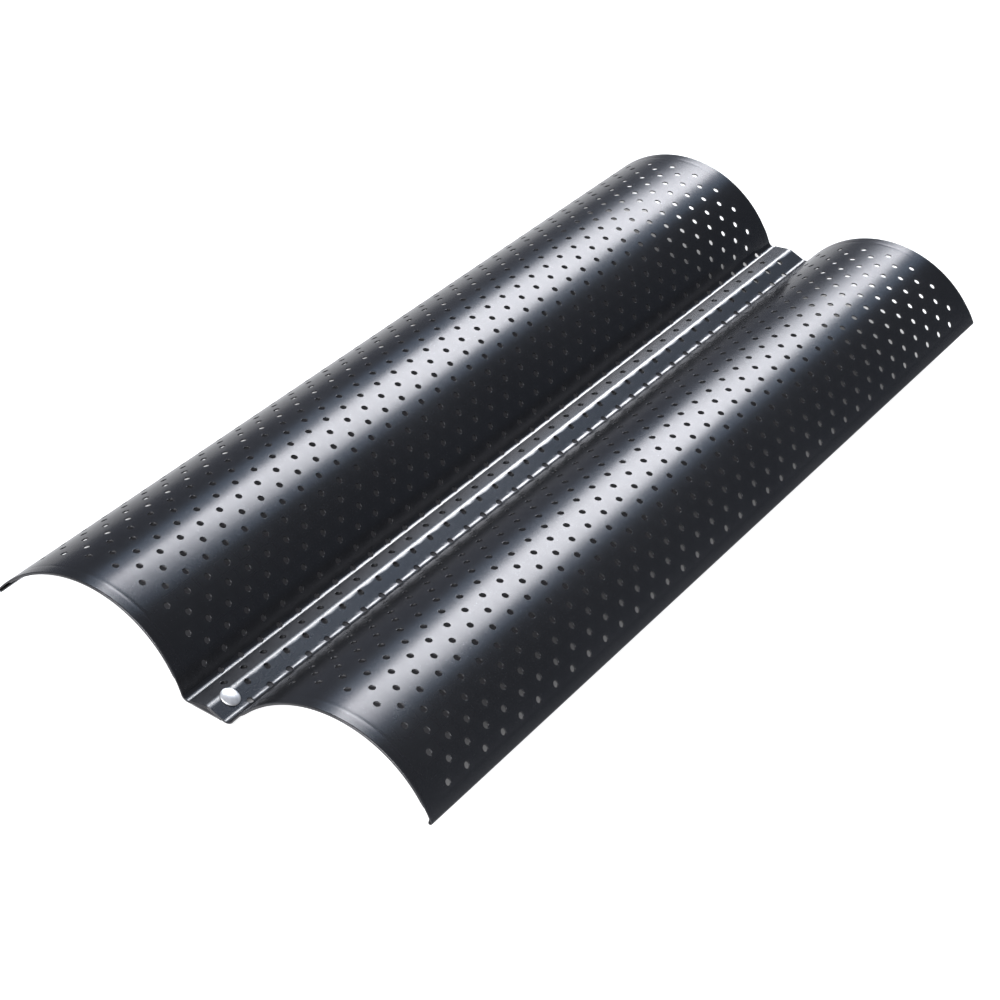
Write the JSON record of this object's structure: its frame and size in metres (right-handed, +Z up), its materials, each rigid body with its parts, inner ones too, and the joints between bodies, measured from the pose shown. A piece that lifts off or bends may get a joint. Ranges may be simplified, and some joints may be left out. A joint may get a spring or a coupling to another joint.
{
  "type": "baguette tray",
  "caption": "Perforated non-stick baking tray with long half-round channels side by side, joined by a riveted lap and lying upside down.",
  "frame": {"origin": "centre of the tray's plan at the level of the surface that the upside-down tray rests on", "axes": "+Z up with the channels' backs uppermost, +Y along the channels away from the riveted end, +X across them to the right"},
  "size_m": [0.162, 0.38, 0.0238],
  "materials": {
    "coated_steel": "satin charcoal non-stick coating",
    "rivet_metal": "bright"
  },
  "bodies": {
    "root": {"left_trough": "coated_steel", "right_trough": "coated_steel", "lap_rivet": "rivet_metal"}
  },
  "joints": []
}
